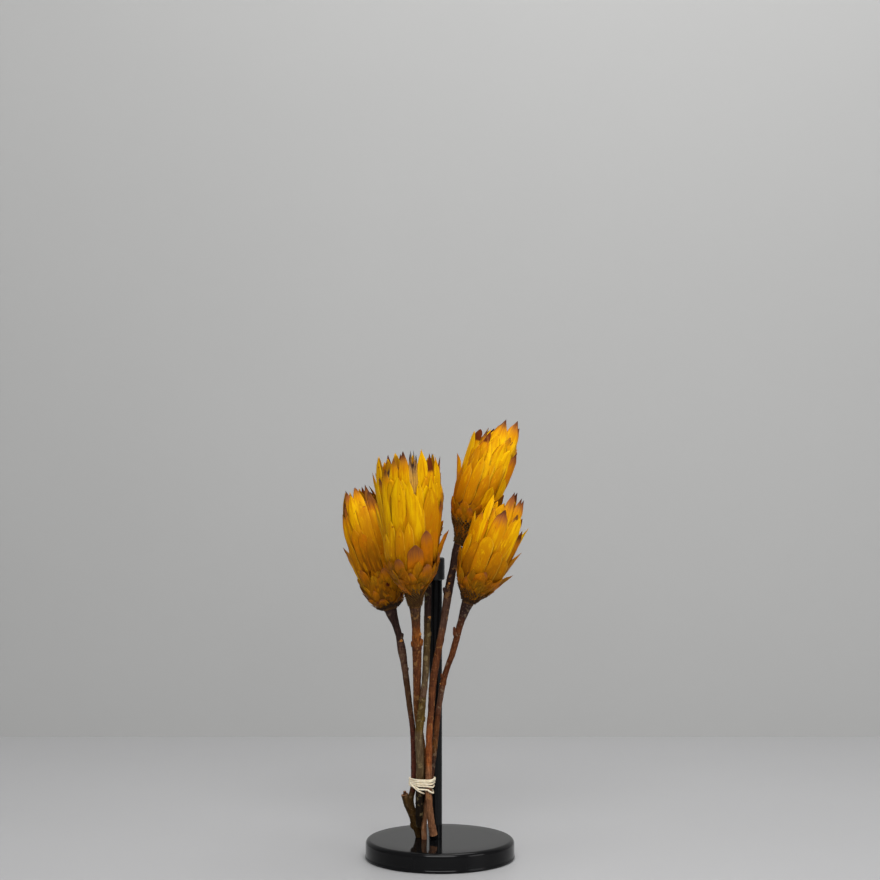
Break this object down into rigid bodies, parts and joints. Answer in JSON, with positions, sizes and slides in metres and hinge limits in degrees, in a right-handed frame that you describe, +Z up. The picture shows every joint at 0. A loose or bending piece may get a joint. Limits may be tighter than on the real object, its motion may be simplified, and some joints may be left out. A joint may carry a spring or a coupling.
{
  "type": "dried protea bunch on a display stand",
  "caption": "Dried sugarbush protea flowers on woody stems, tied low with a rubber band and held upright against a slim black post on a round disc foot.",
  "frame": {"origin": "middle of the stand disc's underside, on the surface that it stands on", "axes": "+Z up along the post; the bunch is seen from -Y, with +X to the right"},
  "size_m": [0.1493, 0.1274, 0.3511],
  "materials": {
    "gloss_black_paint": "gloss",
    "black_plastic": "satin",
    "red_brown_bark": "matte, dry bark",
    "grey_brown_bark": "matte, dry bark with lichen",
    "dried_bract": "matte, thin dried bract",
    "dried_floret": "matte, hairy",
    "cream_rubber": "satin"
  },
  "bodies": {
    "root": {"stand_base": "gloss_black_paint", "stand_post": "gloss_black_paint", "stand_clip": "black_plastic", "stem_left": "grey_brown_bark", "stem_centre": "red_brown_bark", "stem_middle": "grey_brown_bark", "stem_rightTop": "red_brown_bark", "stem_rightLow": "red_brown_bark", "tie_band": "cream_rubber", "bloom_left": "dried_bract", "bloom_centre": "dried_bract", "bloom_middle": "dried_bract", "bloom_rightTop": "dried_bract", "bloom_rightLow": "dried_bract", "florets_left": "dried_floret", "florets_centre": "dried_floret", "florets_middle": "dried_floret", "florets_rightTop": "dried_floret", "florets_rightLow": "dried_floret"}
  },
  "joints": []
}
